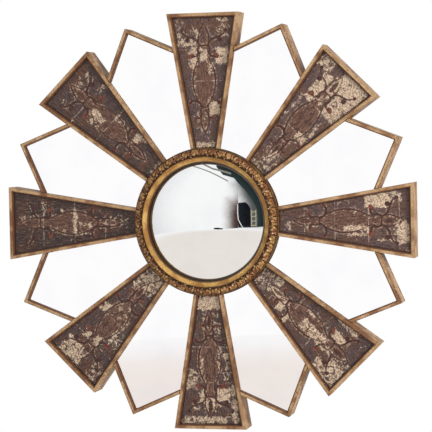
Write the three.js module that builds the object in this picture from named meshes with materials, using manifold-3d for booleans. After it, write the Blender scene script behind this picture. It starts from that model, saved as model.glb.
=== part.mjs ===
// Girandole mirror: a convex mirror in a leaf-moulded gilt ring, from which eight tapered
// gilt trays with decorated panels radiate, with a kite-shaped flat mirror between each pair.
// Millimetres, +Z up. The front faces -Y, and the origin is the middle of the mirror's box.
// Until its last step the model stands with the middle of the hub board's back at the origin.
import * as THREE from 'three';
import { mergeVertices } from 'three/addons/utils/BufferGeometryUtils.js';
import Module from 'manifold-3d';

const wasm = await Module();
wasm.setup();

// ---- driving dimensions -------------------------------------------------------------------
const ARM_COUNT = 8; // arms, with a petal after each
const ARM_REACH = 450; // centre to the outer end of an arm
const ARM_END_WIDTH = 160; // across an arm at its outer end
const ARM_NECK_WIDTH = 64; // across an arm where it goes under the ring
const PETAL_REACH = 456.5; // centre to the tip of a petal
const PETAL_SHOULDER = 375; // along an arm's axis, where a petal's edge meets its side

const RAIL_FACE = 9; // front face of a gilt rail
const RAIL_WALL = 6; // rail behind its rebate
const RAIL_HEIGHT = 48; // hub back to the front of the arm rails
const PETAL_DROP = 1; // petal rails lie this far below the arm rails
const WALL_STANDOFF = 8; // the rails reach this far behind the hub board
const LIP_DEPTH = 7.5; // front of a rail down to the panel or mirror behind its lip
const CROSS_RAIL = 8; // thickness of the rail that closes an arm's inner end

const PANEL_THICKNESS = 3; // decorated glass of an arm
const PANEL_BACK = 4; // board behind it
const FLAT_MIRROR = 3; // mirror glass of a petal
const PETAL_BACK = 9; // board that carries it

const HUB_THICKNESS = 12; // plywood disc that carries the arms
const HUB_OVERLAP = 40; // hub disc beyond the ring

const SIGHT_RADIUS = 128.5; // opening over the convex mirror
const RING_WIDTH = 31.5; // from that opening to the outside of the ring
const SIGHT_EDGE = 1; // thickness of the ring's edge round the opening
const LIP_WIDTH = 2.5; // steep wall round the opening, on plan
const LIP_RISE = 8; // height of that wall
const COVE_WIDTH = 11; // the wall and the smooth cove outside it, on plan
const COVE_LEAN = 3; // how far the cove's outer end is from upright
const RING_FRONT = 60; // hub back to the fillet between the cove and the leaf band
const RING_FALL = 9; // the ring's face drops this much from there to its outside
const INNER_FILLET = 1.5; // width of that fillet
const OUTER_FILLET = 2; // width of the one outside the leaf band
const RING_EASE = 2; // bevel along the ring's outer edge
const BED_DEPTH = 3; // bed of the band, below the fillets
const RING_SEAT = 30; // the ring sits on the arms here
const SKIRT_GAP = 1; // between the ring's inner skirt and the arms' ends

const LEAF_COUNT = 36; // leaves round the band
const LEAF_EDGE = 1; // the band's edges stand this far proud of the ring's face
const LEAF_CREST = 5; // and the leaves' backs this far
const LEAF_HOLLOW = 0.75; // share of that height which is lost between two leaves

const DOME_CURVE = 330; // radius of the convex mirror's front
const DOME_GLASS = 3; // thickness
const DOME_LAP = 5; // its edge, hidden behind the ring
const SEAT_WIDTH = 15; // packing ring behind the edge of the convex mirror
const SEAT_EDGE = 27; // its height there

const FIT = 0.3; // between parts that rest on each other
const SIDE_FIT = 0.5; // round the edge of a panel, board or mirror

const HANGER_SPREAD = 230; // between the two hangers
const HANGER_RISE = 120; // above the centre
const STRAP_WIDTH = 13;
const STRAP_LENGTH = 42;
const STRAP_METAL = 1.2;
const WIRE_RADIUS = 1.5; // of a D-ring
const WIRE_FIT = 0.3; // between its bar and the strap's eye
const RING_BAR = 18; // length of a D-ring's straight bar, between its wires' middles
const RING_DROP = 18; // bar to the bottom of the bow
const RING_BEND = 2.5; // radius of the two corners by the bar

// ---- what follows from them ---------------------------------------------------------------
const STEP_ANGLE = (2 * Math.PI) / ARM_COUNT;
const RING_RADIUS = SIGHT_RADIUS + RING_WIDTH;
const SLOPE = (ARM_END_WIDTH - ARM_NECK_WIDTH) / 2 / (ARM_REACH - RING_RADIUS);
const SLANT = Math.hypot(1, SLOPE);
const PANEL_FRONT = RAIL_HEIGHT - LIP_DEPTH;
const MIRROR_FRONT = RAIL_HEIGHT - PETAL_DROP - LIP_DEPTH;
const HUB_RADIUS = RING_RADIUS + HUB_OVERLAP;
const COVE_RADIUS = SIGHT_RADIUS + COVE_WIDTH;
const SKIRT_RADIUS = COVE_RADIUS - SKIRT_GAP;
const ARM_START = COVE_RADIUS + SKIRT_GAP;
const BED_INNER = COVE_RADIUS + INNER_FILLET;
const BED_OUTER = RING_RADIUS - RING_EASE - OUTER_FILLET;
const DOME_RADIUS = SIGHT_RADIUS + DOME_LAP;
const DOME_EDGE = HUB_THICKNESS + FIT + SEAT_EDGE + FIT;
const DOME_CENTRE = DOME_EDGE - Math.sqrt((DOME_CURVE - DOME_GLASS) ** 2 - DOME_RADIUS ** 2);
const TURN_STEPS = 96; // facets round a turned piece
const LEAF_STEPS = 4; // facets round one leaf
const LEAF_ROWS = 5; // points across the band
const ARC_STEPS = 6; // facets along a short arc
const OVERSHOOT = 5; // how far a cutter passes the face it cuts

// ---- plan geometry: seen from the front, x to the right and y up ---------------------------
const turn = (p, angle) => p.clone().rotateAround(new THREE.Vector2(), angle);

// A side of an arm that points up, set out from the real side by a clearance.
function armSide(offset) {
  const start = new THREE.Vector2(ARM_NECK_WIDTH / 2 + offset * SLANT, RING_RADIUS);
  return { start, along: new THREE.Vector2(SLOPE, 1).normalize() };
}

function lineThrough(a, b, inward = 0) {
  const along = b.clone().sub(a).normalize();
  const normal = new THREE.Vector2(along.y, -along.x);
  return { start: a.clone().addScaledVector(normal, inward), along };
}

function crossing(m, n) {
  const gap = n.start.clone().sub(m.start);
  const t = gap.cross(n.along) / m.along.cross(n.along);
  return m.start.clone().addScaledVector(m.along, t);
}

function atHeight(line, y) {
  return line.start.clone().addScaledVector(line.along, (y - line.start.y) / line.along.y);
}

// Where a line that runs outwards leaves a circle round the centre.
function onCircle(line, radius) {
  const b = line.start.dot(line.along);
  const c = line.start.lengthSq() - radius * radius;
  return line.start.clone().addScaledVector(line.along, -b + Math.sqrt(b * b - c));
}

const mirrored = (p) => new THREE.Vector2(-p.x, p.y);

// An outline that is the same left and right, from its right-hand points, outermost last.
// Its inner edge is an arc round the centre where arcRadius is given.
function symmetricShape(right, arcRadius) {
  const shape = new THREE.Shape();
  const [first, ...rest] = right;
  const left = [...right].reverse().map(mirrored);
  shape.moveTo(first.x, first.y);
  for (const p of [...rest, ...left]) {
    shape.lineTo(p.x, p.y);
  }
  if (arcRadius) {
    const reach = Math.atan2(first.x, first.y);
    shape.absarc(0, 0, arcRadius, Math.PI / 2 + reach, Math.PI / 2 - reach, true);
  }
  return shape;
}

// ---- solids -------------------------------------------------------------------------------
// A plate of the given outline, between two distances in front of the hub board's back.
function plate(shape, low, high) {
  const geometry = new THREE.ExtrudeGeometry(shape, {
    depth: high - low,
    bevelEnabled: false,
    curveSegments: ARC_STEPS,
  });
  return geometry.translate(0, 0, low).rotateX(Math.PI / 2);
}

function disc(radius, low, high) {
  const geometry = new THREE.CylinderGeometry(radius, radius, high - low, TURN_STEPS);
  return geometry.translate(0, -(low + high) / 2, 0);
}

// A turned piece, from a profile of (radius, distance in front of the hub board's back).
function turned(profile, steps = TURN_STEPS) {
  return new THREE.LatheGeometry(profile.map((p) => new THREE.Vector2(p.x, -p.y)), steps);
}

function solid(geometry) {
  const bare = geometry.clone();
  bare.deleteAttribute('normal');
  bare.deleteAttribute('uv');
  const merged = mergeVertices(bare, 1e-4);
  return new wasm.Manifold(new wasm.Mesh({
    numProp: 3,
    vertProperties: Float32Array.from(merged.attributes.position.array),
    triVerts: Uint32Array.from(merged.index.array),
  }));
}

function carved(blank, ...cutters) {
  let body = solid(blank);
  for (const cutter of cutters) {
    body = body.subtract(solid(cutter));
  }
  const mesh = body.getMesh();
  const geometry = new THREE.BufferGeometry();
  geometry.setAttribute('position', new THREE.BufferAttribute(mesh.vertProperties, 3));
  geometry.setIndex(new THREE.BufferAttribute(mesh.triVerts, 1));
  return geometry;
}

// ---- materials ----------------------------------------------------------------------------
const finish = (color, roughness, metalness) =>
  new THREE.MeshStandardMaterial({ color, roughness, metalness });
const giltRail = () => finish('#b98a5a', 0.45, 0.6);
const giltRing = () => finish('#b07f3f', 0.4, 0.7);
const leafPanel = () => finish('#5a4b50', 0.35, 0.2);
const mirrorGlass = () => finish('#e8ebee', 0.03, 1);
const board = () => finish('#4a3a2c', 0.85, 0);
const plywood = () => finish('#a98b62', 0.8, 0);
const platedSteel = () => finish('#b9b4a6', 0.35, 0.9);

function part(name, geometry, material) {
  const mesh = new THREE.Mesh(geometry, material);
  mesh.name = name;
  return mesh;
}

// ---- an arm, pointing up ------------------------------------------------------------------
function armOutline(inset, inner, outer, arcRadius) {
  const side = armSide(-inset);
  const start = arcRadius ? onCircle(side, arcRadius) : atHeight(side, inner);
  return symmetricShape([start, atHeight(side, outer)], arcRadius);
}

// Four mitred rails, rebated for the panel, and lapped under the ring and over the hub board.
function armFrame() {
  const rebate = armOutline(RAIL_WALL, ARM_START + CROSS_RAIL, ARM_REACH - RAIL_WALL);
  const sight = armOutline(RAIL_FACE, ARM_START + CROSS_RAIL, ARM_REACH - RAIL_FACE);
  return carved(
    plate(armOutline(0, ARM_START, ARM_REACH), -WALL_STANDOFF, RAIL_HEIGHT),
    plate(rebate, -WALL_STANDOFF - OVERSHOOT, PANEL_FRONT),
    plate(sight, PANEL_FRONT - OVERSHOOT, RAIL_HEIGHT + OVERSHOOT),
    disc(HUB_RADIUS + SIDE_FIT, -WALL_STANDOFF - OVERSHOOT, HUB_THICKNESS + FIT),
    disc(RING_RADIUS + SIDE_FIT, RING_SEAT, RAIL_HEIGHT + OVERSHOOT),
  );
}

function armSheet(front, thickness) {
  const inset = RAIL_WALL + SIDE_FIT;
  const outline = armOutline(inset, 0, ARM_REACH - inset, RING_RADIUS + 2 * SIDE_FIT);
  return plate(outline, front - thickness, front);
}

function buildArm(number) {
  const arm = new THREE.Group();
  const panelFront = PANEL_FRONT - FIT;
  const backFront = panelFront - PANEL_THICKNESS - FIT;
  arm.add(part(`arm_${number}_frame`, armFrame(), giltRail()));
  arm.add(part(`arm_${number}_panel`, armSheet(panelFront, PANEL_THICKNESS), leafPanel()));
  arm.add(part(`arm_${number}_back`, armSheet(backFront, PANEL_BACK), board()));
  return arm;
}

// ---- a petal, pointing up, between two arms -----------------------------------------------
// The side of the arm on its right, as the petal sees it.
function neighbour(clearance) {
  const side = armSide(clearance);
  const seen = { start: mirrored(side.start), along: mirrored(side.along) };
  return { start: turn(seen.start, -STEP_ANGLE / 2), along: turn(seen.along, -STEP_ANGLE / 2) };
}

// The petal's free edge, from its shoulder on the right up to its tip.
function petalEdge(inset) {
  const shoulder = turn(mirrored(atHeight(armSide(0), PETAL_SHOULDER)), -STEP_ANGLE / 2);
  return lineThrough(new THREE.Vector2(0, PETAL_REACH), shoulder, inset);
}

function petalCorners(inset, clearance) {
  const edge = petalEdge(inset);
  const middle = { start: new THREE.Vector2(), along: new THREE.Vector2(0, 1) };
  return { shoulder: crossing(edge, neighbour(clearance)), tip: crossing(edge, middle) };
}

// Two rails mitred at the tip, rebated like the arms' and cut to the slant of their sides.
function petalFrame() {
  const low = -WALL_STANDOFF;
  const high = RAIL_HEIGHT - PETAL_DROP;
  const outer = petalCorners(0, FIT);
  const inner = petalCorners(RAIL_FACE, FIT);
  const rebate = petalCorners(RAIL_WALL, 0);
  const vee = new THREE.Shape([
    inner.shoulder,
    outer.shoulder,
    outer.tip,
    mirrored(outer.shoulder),
    mirrored(inner.shoulder),
    inner.tip,
  ]);
  const foot = onCircle(neighbour(0), RING_RADIUS);
  const cutter = symmetricShape([foot, rebate.shoulder, rebate.tip]);
  return carved(plate(vee, low, high), plate(cutter, low - OVERSHOOT, MIRROR_FRONT));
}

function petalSheet(front, thickness) {
  const { shoulder, tip } = petalCorners(RAIL_WALL + SIDE_FIT, SIDE_FIT);
  const arc = RING_RADIUS + 2 * SIDE_FIT;
  const outline = symmetricShape([onCircle(neighbour(SIDE_FIT), arc), shoulder, tip], arc);
  return plate(outline, front - thickness, front);
}

function buildPetal(number) {
  const petal = new THREE.Group();
  const mirrorFront = MIRROR_FRONT - FIT;
  const backFront = mirrorFront - FLAT_MIRROR - FIT;
  petal.add(part(`petal_${number}_frame`, petalFrame(), giltRail()));
  petal.add(part(`petal_${number}_mirror`, petalSheet(mirrorFront, FLAT_MIRROR), mirrorGlass()));
  petal.add(part(`petal_${number}_back`, petalSheet(backFront, PETAL_BACK), board()));
  return petal;
}

// ---- the centre ---------------------------------------------------------------------------
const domeFront = (radius) => DOME_CENTRE + Math.sqrt(DOME_CURVE ** 2 - radius ** 2);
const domeBack = (radius) =>
  DOME_CENTRE + Math.sqrt((DOME_CURVE - DOME_GLASS) ** 2 - radius ** 2);

function convexMirror() {
  const rings = 7;
  const profile = [];
  for (let i = 0; i <= rings; i += 1) {
    const radius = (DOME_RADIUS * i) / rings;
    profile.push(new THREE.Vector2(radius, domeFront(radius)));
  }
  for (let i = rings; i >= 0; i -= 1) {
    const radius = (DOME_RADIUS * i) / rings;
    profile.push(new THREE.Vector2(radius, domeBack(radius)));
  }
  return turned(profile);
}

// The ring's sloping face, and the floor of the leaf band's bed below it.
const ringFace = (radius) =>
  RING_FRONT - (RING_FALL * (radius - COVE_RADIUS)) / (RING_WIDTH - COVE_WIDTH);
const bedFloor = (radius) => ringFace(radius) - BED_DEPTH;

// A turned ring with a steep wall and a hollow cove round the convex mirror, a rebate over the
// mirror's edge, a sloping bed for the leaf band between two fillets, and a plain outer wall that
// stands on the arms.
function ringMoulding() {
  const sight = domeFront(SIGHT_RADIUS) + FIT + SIGHT_EDGE;
  const lip = sight + LIP_RISE;
  const mirrorEdge = domeFront(DOME_RADIUS) + FIT;
  const base = RING_SEAT + FIT;
  const section = new THREE.Shape();
  section.moveTo(SIGHT_RADIUS, sight);
  section.lineTo(SIGHT_RADIUS + LIP_WIDTH, lip);
  section.quadraticCurveTo(COVE_RADIUS - COVE_LEAN, lip, COVE_RADIUS, RING_FRONT);
  section.lineTo(BED_INNER, ringFace(BED_INNER));
  section.lineTo(BED_INNER, bedFloor(BED_INNER));
  section.lineTo(BED_OUTER, bedFloor(BED_OUTER));
  section.lineTo(BED_OUTER, ringFace(BED_OUTER));
  section.lineTo(RING_RADIUS - RING_EASE, ringFace(RING_RADIUS - RING_EASE));
  section.lineTo(RING_RADIUS, ringFace(RING_RADIUS - RING_EASE) - RING_EASE);
  section.lineTo(RING_RADIUS, base);
  section.lineTo(SKIRT_RADIUS, base);
  section.lineTo(SKIRT_RADIUS, mirrorEdge);
  section.lineTo(DOME_RADIUS, mirrorEdge);
  section.lineTo(SIGHT_RADIUS, sight - SIGHT_EDGE);
  const profile = section.getPoints(ARC_STEPS);
  return turned([...profile, profile[0]]);
}

// How far a point of the leaf band stands proud of the ring's face. Across runs from 0 at the band's
// inner edge to 1 at its outer edge, and along from one hollow between two leaves to the next.
function leafRise(across, along) {
  const arch = Math.sin(Math.PI * across);
  const back = (1 - Math.cos(2 * Math.PI * along)) / 2;
  return LEAF_EDGE + (LEAF_CREST - LEAF_EDGE) * arch * (1 - LEAF_HOLLOW * (1 - back));
}

// The pressed band of leaves in the ring's bed: turned with a plain front, which is then raised.
function leafBand() {
  const inner = BED_INNER + SIDE_FIT;
  const outer = BED_OUTER - SIDE_FIT;
  const profile = [new THREE.Vector2(inner, bedFloor(inner) + FIT)];
  for (let row = 0; row < LEAF_ROWS; row += 1) {
    const radius = inner + ((outer - inner) * row) / (LEAF_ROWS - 1);
    profile.push(new THREE.Vector2(radius, ringFace(radius)));
  }
  profile.push(new THREE.Vector2(outer, bedFloor(outer) + FIT), profile[0]);
  const geometry = turned(profile, LEAF_COUNT * LEAF_STEPS);
  const position = geometry.attributes.position;
  for (let i = 0; i < position.count; i += 1) {
    const leaf = Math.floor(i / profile.length) / LEAF_STEPS;
    const row = (i % profile.length) - 1;
    if (row >= 0 && row < LEAF_ROWS) {
      const rise = leafRise(row / (LEAF_ROWS - 1), leaf % 1);
      position.setY(i, position.getY(i) - rise);
    }
  }
  return geometry;
}

// A turned packing ring that stands on the hub board and beds the edge of the convex mirror.
function mirrorSeat() {
  const inner = DOME_RADIUS - SEAT_WIDTH;
  const base = HUB_THICKNESS + FIT;
  const corners = [
    [inner, base],
    [inner, domeBack(inner) - FIT],
    [DOME_RADIUS, domeBack(DOME_RADIUS) - FIT],
    [DOME_RADIUS, base],
    [inner, base],
  ];
  return turned(corners.map(([radius, front]) => new THREE.Vector2(radius, front)));
}

// ---- hanging hardware on the back ---------------------------------------------------------
const EYE_INNER = WIRE_RADIUS + WIRE_FIT;
const EYE_OUTER = EYE_INNER + STRAP_METAL;

// A steel strap whose end is rolled into an eye for the D-ring's bar. Its outline is drawn from
// the side, x away from the hub board and y up from the eye's middle.
function hangerStrap() {
  const gap = Math.PI / 3;
  const side = new THREE.Shape();
  side.moveTo(0, -STRAP_LENGTH);
  side.lineTo(STRAP_METAL, -STRAP_LENGTH);
  side.lineTo(STRAP_METAL, 0);
  side.absarc(EYE_OUTER, 0, EYE_INNER, Math.PI, -gap, true);
  side.absarc(EYE_OUTER, 0, EYE_OUTER, -gap, Math.PI, false);
  side.closePath();
  const geometry = new THREE.ExtrudeGeometry(side, {
    depth: STRAP_WIDTH,
    bevelEnabled: false,
    curveSegments: 2 * ARC_STEPS,
  });
  geometry.translate(0, 0, -STRAP_WIDTH / 2);
  geometry.rotateX(Math.PI / 2);
  return geometry.rotateZ(Math.PI / 2);
}

// A D-ring bent from wire, its two ends butted inside the strap's eye.
function dRing() {
  const half = RING_BAR / 2;
  const bend = RING_BEND;
  const legEnd = RING_DROP - half;
  const at = (x, z) => new THREE.Vector3(x, 0, z);
  const path = new THREE.CurvePath();
  const bow = new THREE.Path();
  bow.absarc(0, -legEnd, half, 0, -Math.PI, true);
  path.add(new THREE.LineCurve3(at(WIRE_FIT / 2, 0), at(half - bend, 0)));
  path.add(new THREE.QuadraticBezierCurve3(at(half - bend, 0), at(half, 0), at(half, -bend)));
  path.add(new THREE.LineCurve3(at(half, -bend), at(half, -legEnd)));
  path.add(new THREE.CatmullRomCurve3(bow.getPoints(2 * ARC_STEPS).map((p) => at(p.x, p.y))));
  path.add(new THREE.LineCurve3(at(-half, -legEnd), at(-half, -bend)));
  path.add(new THREE.QuadraticBezierCurve3(at(-half, -bend), at(-half, 0), at(bend - half, 0)));
  path.add(new THREE.LineCurve3(at(bend - half, 0), at(-WIRE_FIT / 2, 0)));
  const wire = new THREE.Shape();
  wire.absarc(0, 0, WIRE_RADIUS, 0, 2 * Math.PI, false);
  return new THREE.ExtrudeGeometry(wire, {
    steps: 44,
    curveSegments: 4,
    extrudePath: path,
  });
}

function buildHanger(name, x) {
  const hanger = new THREE.Group();
  hanger.position.set(x, 0, HANGER_RISE);
  const ring = part(`d_ring_${name}`, dRing(), platedSteel());
  ring.position.y = EYE_OUTER;
  hanger.add(part(`hanger_strap_${name}`, hangerStrap(), platedSteel()), ring);
  return hanger;
}

// ---- the whole mirror ---------------------------------------------------------------------
const mirror = new THREE.Group();
mirror.position.y = (domeFront(0) - WALL_STANDOFF) / 2;
for (let i = 0; i < ARM_COUNT; i += 1) {
  const arm = buildArm(i + 1);
  arm.rotation.y = i * STEP_ANGLE;
  const petal = buildPetal(i + 1);
  petal.rotation.y = (i + 0.5) * STEP_ANGLE;
  mirror.add(arm, petal);
}
mirror.add(part('hub_board', disc(HUB_RADIUS, 0, HUB_THICKNESS), plywood()));
mirror.add(part('mirror_seat', mirrorSeat(), plywood()));
mirror.add(part('convex_mirror', convexMirror(), mirrorGlass()));
mirror.add(part('ring_moulding', ringMoulding(), giltRing()));
mirror.add(part('leaf_band', leafBand(), giltRing()));
mirror.add(buildHanger('left', -HANGER_SPREAD / 2), buildHanger('right', HANGER_SPREAD / 2));

export default mirror;
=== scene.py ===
# A girandole mirror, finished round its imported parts. Everything is in metres and in the part's
# own frame: +Z up, the front towards -Y, and the convex mirror's axis on the Y axis.
import math

import bmesh
import bpy
import numpy as np
from mathutils import Matrix, Vector, noise


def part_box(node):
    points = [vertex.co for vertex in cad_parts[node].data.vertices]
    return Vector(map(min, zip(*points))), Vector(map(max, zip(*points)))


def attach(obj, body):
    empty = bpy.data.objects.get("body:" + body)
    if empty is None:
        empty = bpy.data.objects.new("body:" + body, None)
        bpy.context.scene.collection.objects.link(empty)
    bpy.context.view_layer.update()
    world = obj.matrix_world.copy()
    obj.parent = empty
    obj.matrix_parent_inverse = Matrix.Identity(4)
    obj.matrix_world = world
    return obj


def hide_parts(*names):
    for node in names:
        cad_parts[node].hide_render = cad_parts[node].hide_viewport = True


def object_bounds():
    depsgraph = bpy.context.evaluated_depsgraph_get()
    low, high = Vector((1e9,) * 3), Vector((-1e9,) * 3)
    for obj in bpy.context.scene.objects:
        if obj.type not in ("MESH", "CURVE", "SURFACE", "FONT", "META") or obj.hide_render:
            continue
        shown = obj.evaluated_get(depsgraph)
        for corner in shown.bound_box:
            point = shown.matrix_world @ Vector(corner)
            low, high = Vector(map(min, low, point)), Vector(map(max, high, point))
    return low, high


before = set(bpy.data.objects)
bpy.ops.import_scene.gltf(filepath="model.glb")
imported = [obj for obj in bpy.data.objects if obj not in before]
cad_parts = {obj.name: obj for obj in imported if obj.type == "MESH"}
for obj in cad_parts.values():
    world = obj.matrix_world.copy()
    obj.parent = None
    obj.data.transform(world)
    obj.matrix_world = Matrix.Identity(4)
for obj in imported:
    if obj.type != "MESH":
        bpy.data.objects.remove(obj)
cad_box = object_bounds()
MM = 0.001

# ---- The setting ----------------------------------------------------------------------------
# The mirror hangs over a pale floor in an even white room, with a large soft lamp to the right and
# a weak one to the left. The camera stands to the right, a little above the mirror's middle. The
# mirrors show the rest of the room: its white walls, and a dark end with a doorway.
AZIMUTH = 13.9
ELEVATION = 2.6
ROLL = -1.13
CAMERA_DISTANCE = 3.947
LENS = 151.5
AIM = Vector((0.0151, cad_box[1][1] - 0.028, 0.0114))
ROOM_LIGHT = 0.5
FLOOR_BELOW = 1.15
FLOOR_RADIUS = 5
FLOOR_AHEAD = 3.2
FLOOR_GLOW = 0.48
WALL_RADIUS = 14
BRIGHTEST = Vector((-0.2, -0.96, 0.21))


def colour(written):
    """A colour written as #RRGGBB, as the linear values that shaders take."""
    shares = [int(written[i : i + 2], 16) / 255 for i in (1, 3, 5)]
    return [*(((s + 0.055) / 1.055) ** 2.4 if s > 0.04 else s / 12.92 for s in shares), 1]


class Finish:
    """A material as it is mixed: the shader, and the patterns that feed it."""

    def __init__(self, name, tint, roughness, metallic=0.0):
        self.material = bpy.data.materials.new(name)
        self.material.use_nodes = True
        self.tree = self.material.node_tree
        self.shader = self.tree.nodes["Principled BSDF"]
        self.shader.inputs["Base Color"].default_value = colour(tint)
        self.shader.inputs["Roughness"].default_value = roughness
        self.shader.inputs["Metallic"].default_value = metallic
        self.place = self.node("ShaderNodeTexCoord").outputs["Object"]

    def node(self, kind, **settings):
        made = self.tree.nodes.new(kind)
        for key, value in settings.items():
            setattr(made, key, value)
        return made

    def feed(self, socket, value):
        """Puts a link, a written colour or a number into a socket."""
        if isinstance(value, bpy.types.NodeSocket):
            self.tree.links.new(value, socket)
        elif isinstance(value, str):
            socket.default_value = colour(value)
        else:
            socket.default_value = value

    def set(self, **values):
        for key, value in values.items():
            self.feed(self.shader.inputs[key.replace("_", " ")], value)

    def attribute(self, name):
        return self.node("ShaderNodeAttribute", attribute_name=name).outputs["Fac"]

    def mottle(self, size, detail=3, place=None, bend=0.0):
        """Cloudy noise whose patches are about this size."""
        made = self.node("ShaderNodeTexNoise")
        self.feed(made.inputs["Vector"], place or self.place)
        self.feed(made.inputs["Scale"], 1 / size)
        self.feed(made.inputs["Detail"], detail)
        self.feed(made.inputs["Distortion"], bend)
        return made.outputs[0]

    def step(self, value, low, high):
        """0 below low, 1 above high, and smooth between; the other way round if low > high."""
        made = self.node("ShaderNodeMapRange", interpolation_type="SMOOTHSTEP")
        turned_round = low > high
        self.feed(made.inputs["Value"], value)
        self.feed(made.inputs["From Min"], min(low, high))
        self.feed(made.inputs["From Max"], max(low, high))
        self.feed(made.inputs["To Min"], 1.0 if turned_round else 0.0)
        self.feed(made.inputs["To Max"], 0.0 if turned_round else 1.0)
        return made.outputs["Result"]

    def reckon(self, operation, first, second, third=0.0):
        made = self.node("ShaderNodeMath", operation=operation)
        for socket, value in zip(made.inputs, (first, second, third)):
            self.feed(socket, value)
        return made.outputs[0]

    def blend(self, share, under, over, strength=1):
        """The colour over laid on the colour under, where share says and this strongly."""
        if strength != 1:
            share = self.reckon("MULTIPLY", share, strength)
        made = self.node("ShaderNodeMix", data_type="RGBA")
        self.feed(made.inputs[0], share)
        self.feed(made.inputs[6], under)
        self.feed(made.inputs[7], over)
        return made.outputs[2]


def white_to_the_eye(tree, dull, end):
    """Lets camera, glossy and glass rays see plain white where other rays see the given shader."""
    path = tree.nodes.new("ShaderNodeLightPath")
    seen = path.outputs["Is Camera Ray"]
    for kind in ("Is Glossy Ray", "Is Transmission Ray"):
        either = tree.nodes.new("ShaderNodeMath")
        either.operation = "MAXIMUM"
        tree.links.new(seen, either.inputs[0])
        tree.links.new(path.outputs[kind], either.inputs[1])
        seen = either.outputs[0]
    white = tree.nodes.new("ShaderNodeBackground")
    choice = tree.nodes.new("ShaderNodeMixShader")
    tree.links.new(seen, choice.inputs[0])
    tree.links.new(dull, choice.inputs[1])
    tree.links.new(white.outputs[0], choice.inputs[2])
    tree.links.new(choice.outputs[0], end)
    white.inputs["Color"].default_value = (1, 1, 1, 1)


def stand_camera():
    turned = Matrix.Rotation(math.radians(AZIMUTH), 4, "Z")
    turned @= Matrix.Rotation(math.radians(90 - ELEVATION), 4, "X")
    turned @= Matrix.Rotation(math.radians(ROLL), 4, "Z")
    camera = bpy.data.objects.new("camera", bpy.data.cameras.new("camera"))
    back = Matrix.Translation((0, 0, CAMERA_DISTANCE))
    camera.matrix_world = Matrix.Translation(AIM) @ turned @ back
    camera.data.lens = LENS
    bpy.context.collection.objects.link(camera)
    bpy.context.scene.camera = camera


def light_room():
    world = bpy.data.worlds.new("room")
    bpy.context.scene.world = world
    world.use_nodes = True
    room = world.node_tree.nodes["Background"]
    room.inputs["Strength"].default_value = ROOM_LIGHT
    end = world.node_tree.nodes["World Output"].inputs["Surface"]
    white_to_the_eye(world.node_tree, room.outputs[0], end)
    room.inputs["Color"].default_value = (1, 1, 1, 1)


def hang_lamp(name, place, size, power):
    """A round soft lamp that looks at the mirror, and that no mirror shows."""
    lamp = bpy.data.objects.new(name, bpy.data.lights.new(name, "AREA"))
    lamp.data.shape = "DISK"
    lamp.data.size = size
    lamp.data.energy = power
    lamp.location = place
    lamp.rotation_euler = Vector(place).to_track_quat("Z", "Y").to_euler()
    lamp.visible_glossy = False
    bpy.context.collection.objects.link(lamp)


def stand(form, name, finish):
    """Puts a finished form into the room round the mirror."""
    mesh = bpy.data.meshes.new(name)
    form.to_mesh(mesh)
    form.free()
    mesh.materials.append(finish.material)
    made = bpy.data.objects.new(name, mesh)
    bpy.context.collection.objects.link(made)
    return made


def lay_floor():
    """A matt floor that looks nearly white, and that mirrors show lit up, whiter far away."""
    finish = Finish("floor paint", "#F4F0EC", 0.9)
    speckle = finish.mottle(0.4)
    seen = finish.node("ShaderNodeLightPath")
    finish.set(Base_Color=finish.blend(speckle, "#F4F0EC", "#F8F5F2"))
    finish.set(Emission_Strength=finish.reckon("MULTIPLY", seen.outputs["Is Camera Ray"], FLOOR_GLOW))
    finish.set(Emission_Color="#FFFFFF")
    glow = finish.node("ShaderNodeEmission")
    lit = finish.blend(speckle, "#ECE5DF", "#F2EAE5")
    far = finish.step(finish.attribute("share"), 0.65, 1)
    finish.feed(glow.inputs["Color"], finish.blend(far, lit, "#FAFAFA"))
    choice = finish.node("ShaderNodeMixShader")
    finish.feed(choice.inputs[0], seen.outputs["Is Glossy Ray"])
    finish.tree.links.new(finish.shader.outputs[0], choice.inputs[1])
    finish.tree.links.new(glow.outputs[0], choice.inputs[2])
    finish.feed(finish.tree.nodes["Material Output"].inputs["Surface"], choice.outputs[0])
    form = bmesh.new()
    bmesh.ops.create_circle(form, cap_ends=True, cap_tris=True, segments=96, radius=FLOOR_RADIUS)
    share = form.verts.layers.float.new("share")
    for v in form.verts:
        v[share] = v.co.length / FLOOR_RADIUS
    bmesh.ops.translate(form, verts=form.verts, vec=(0, -FLOOR_AHEAD, -FLOOR_BELOW))
    stand(form, "floor", finish)


def hide_but_in_mirrors(thing):
    thing.visible_camera = False
    thing.visible_diffuse = False
    thing.visible_shadow = False
    thing.visible_transmission = False


def glowing(name, near, far, fades=False):
    """A lit surface, whose two tints run into each other as the attribute "share" says. One that
    fades is clear where the share is 0."""
    finish = Finish(name, "#000000", 1)
    cloud = finish.mottle(0.5, 4)
    share = finish.reckon("MULTIPLY_ADD", cloud, 0.16, -0.08)
    share = finish.reckon("ADD", finish.attribute("share"), share)
    share = finish.step(share, 0, 0.8)
    finish.set(Specular_IOR_Level=0, Emission_Strength=1)
    finish.set(Emission_Color=finish.blend(share, near, far))
    if fades:
        finish.set(Alpha=share)
    return finish


def hang_wall():
    """The white room behind the camera, brightest in one place and greyer all round."""
    form = bmesh.new()
    bmesh.ops.create_uvsphere(form, u_segments=96, v_segments=48, radius=WALL_RADIUS)
    share = form.verts.layers.float.new("share")
    for v in form.verts:
        aside = (v.co / WALL_RADIUS - BRIGHTEST).length
        v[share] = 0.8 * min(1, max(0, aside - 0.3))
    hide_but_in_mirrors(stand(form, "white room", glowing("white wall", "#FFFFFF", "#CFCFD2")))


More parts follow.
